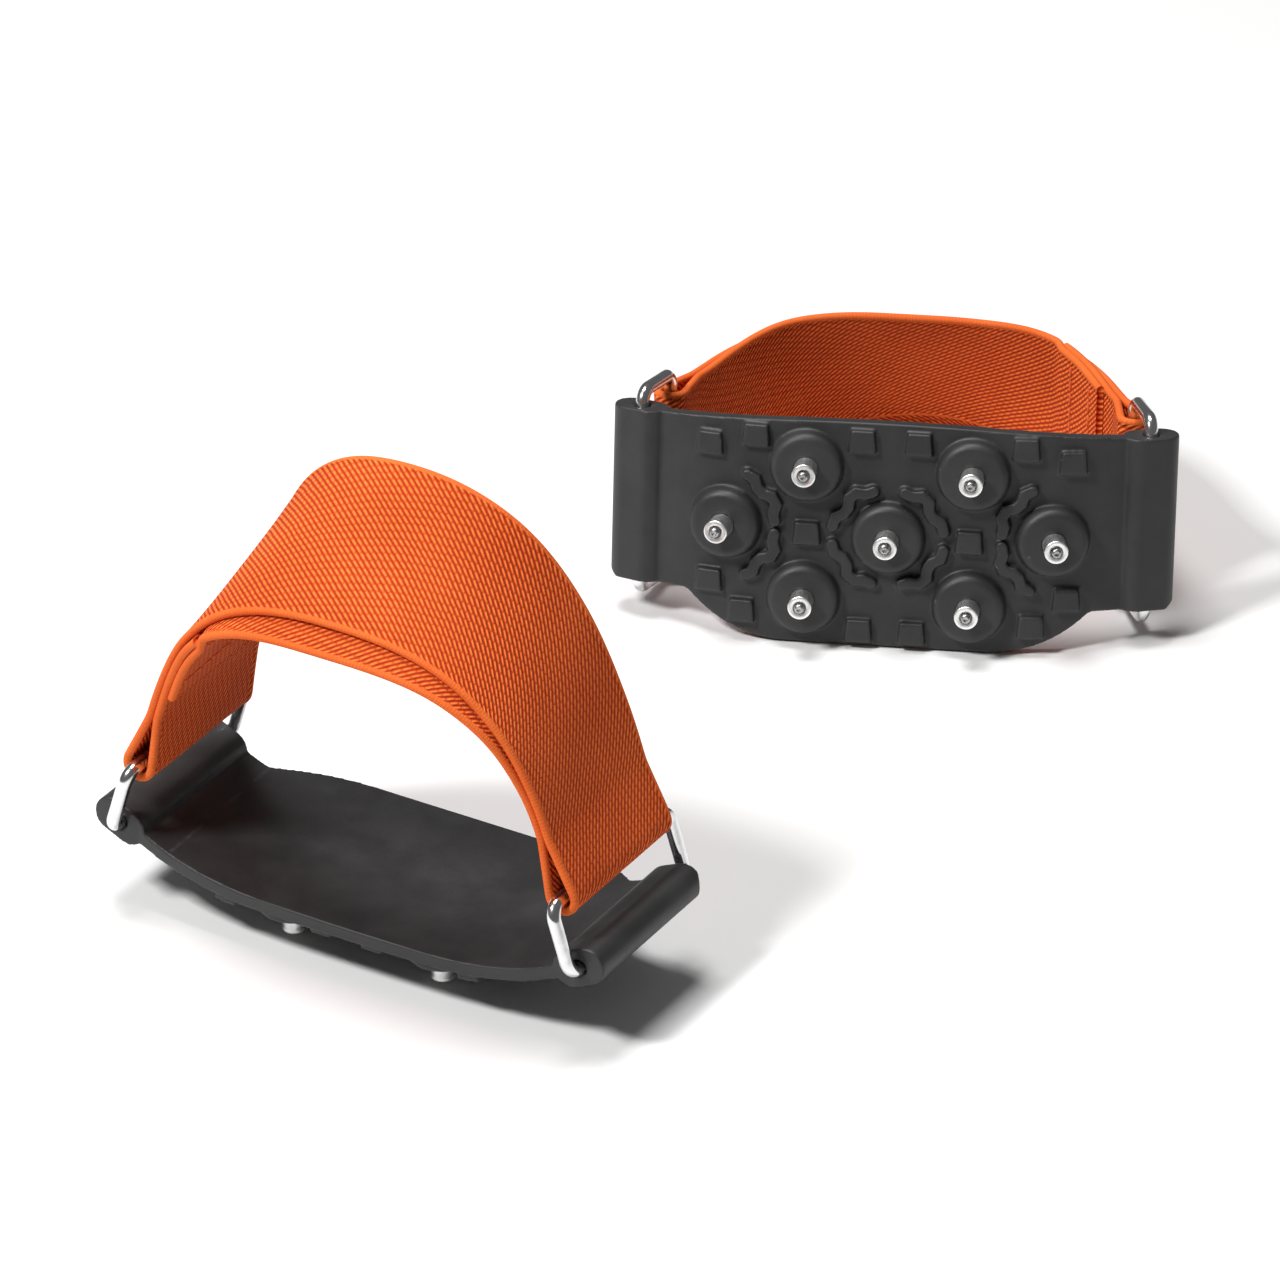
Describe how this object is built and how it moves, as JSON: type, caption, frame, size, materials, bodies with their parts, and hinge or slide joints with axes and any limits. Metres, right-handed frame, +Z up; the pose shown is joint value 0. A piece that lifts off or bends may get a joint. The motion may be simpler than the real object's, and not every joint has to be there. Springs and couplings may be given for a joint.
{
  "type": "shoe ice cleats",
  "caption": "Pair of instep ice cleats: a studded rubber tread pad under the arch, held by a wide elastic strap looped through wire rings.",
  "frame": {"origin": "centre of the footprint of the pair as it lies, at ground level", "axes": "+Z up; -Y is the front, which the studs of the standing cleat face; +X to the right seen from the front"},
  "size_m": [0.2282, 0.2631, 0.106],
  "materials": {
    "tread_rubber": "moulded, matte",
    "stud_steel": "turned and ringed",
    "stud_carbide": "ground",
    "ring_chrome": "polished",
    "strap_webbing": "woven elastic webbing",
    "strap_thread": "sewing thread"
  },
  "bodies": {
    "left_tread": {"left_tread_pad": "tread_rubber", "left_stud_1": "stud_steel", "left_stud_2": "stud_steel", "left_stud_3": "stud_steel", "left_stud_4": "stud_steel", "left_stud_5": "stud_steel", "left_stud_6": "stud_steel", "left_stud_7": "stud_steel", "left_stud_tip_1": "stud_carbide", "left_stud_tip_2": "stud_carbide", "left_stud_tip_3": "stud_carbide", "left_stud_tip_4": "stud_carbide", "left_stud_tip_5": "stud_carbide", "left_stud_tip_6": "stud_carbide", "left_stud_tip_7": "stud_carbide"},
    "left_outer_ring": {"left_outer_ring": "ring_chrome"},
    "left_inner_ring": {"left_inner_ring": "ring_chrome"},
    "left_strap": {"left_strap": "strap_webbing", "left_strap_stitching": "strap_thread"},
    "right_tread": {"right_tread_pad": "tread_rubber", "right_stud_1": "stud_steel", "right_stud_2": "stud_steel", "right_stud_3": "stud_steel", "right_stud_4": "stud_steel", "right_stud_5": "stud_steel", "right_stud_6": "stud_steel", "right_stud_7": "stud_steel", "right_stud_tip_1": "stud_carbide", "right_stud_tip_2": "stud_carbide", "right_stud_tip_3": "stud_carbide", "right_stud_tip_4": "stud_carbide", "right_stud_tip_5": "stud_carbide", "right_stud_tip_6": "stud_carbide", "right_stud_tip_7": "stud_carbide"},
    "right_outer_ring": {"right_outer_ring": "ring_chrome"},
    "right_inner_ring": {"right_inner_ring": "ring_chrome"},
    "right_strap": {"right_strap": "strap_webbing", "right_strap_stitching": "strap_thread"}
  },
  "joints": [
    {"name": "left_outer_ring_hinge", "type": "hinge", "parent": "left_tread", "child": "left_outer_ring", "pos_m": [-0.00435, -0.11119, 0.0192], "axis": [-0.515, -0.8572, 0], "range_deg": [-15, 15]},
    {"name": "left_inner_ring_hinge", "type": "hinge", "parent": "left_tread", "child": "left_inner_ring", "pos_m": [-0.09893, -0.05436, 0.0192], "axis": [-0.515, -0.8572, 0], "range_deg": [-15, 15]},
    {"name": "left_strap_hinge", "type": "hinge", "parent": "left_outer_ring", "child": "left_strap", "pos_m": [-0.0082, -0.10888, 0.03351], "axis": [-0.515, -0.8572, 0], "range_deg": [-16.43, 16.43]},
    {"name": "right_outer_ring_hinge", "type": "hinge", "parent": "right_tread", "child": "right_outer_ring", "pos_m": [-0.00195, 0.05484, 0.02718], "axis": [0.023, 0.1877, 0.982], "range_deg": [-15, 15]},
    {"name": "right_inner_ring_hinge", "type": "hinge", "parent": "right_tread", "child": "right_inner_ring", "pos_m": [0.10756, 0.04139, 0.02718], "axis": [0.023, 0.1877, 0.982], "range_deg": [-15, 15]},
    {"name": "right_strap_hinge", "type": "hinge", "parent": "right_outer_ring", "child": "right_strap", "pos_m": [0.00422, 0.06824, 0.02447], "axis": [0.023, 0.1877, 0.982], "range_deg": [-16.43, 16.43]},
    {"name": "right_cleat_lift", "type": "slide", "parent": "left_tread", "child": "right_tread", "axis": [0, 0, 1], "range_m": [0, 0.15]}
  ],
  "couplings": [
    {"joint": "left_inner_ring_hinge", "follows": "left_outer_ring_hinge", "ratio": 1},
    {"joint": "left_strap_hinge", "follows": "left_outer_ring_hinge", "ratio": -1.0885},
    {"joint": "right_inner_ring_hinge", "follows": "right_outer_ring_hinge", "ratio": 1},
    {"joint": "right_strap_hinge", "follows": "right_outer_ring_hinge", "ratio": -1.0885}
  ]
}
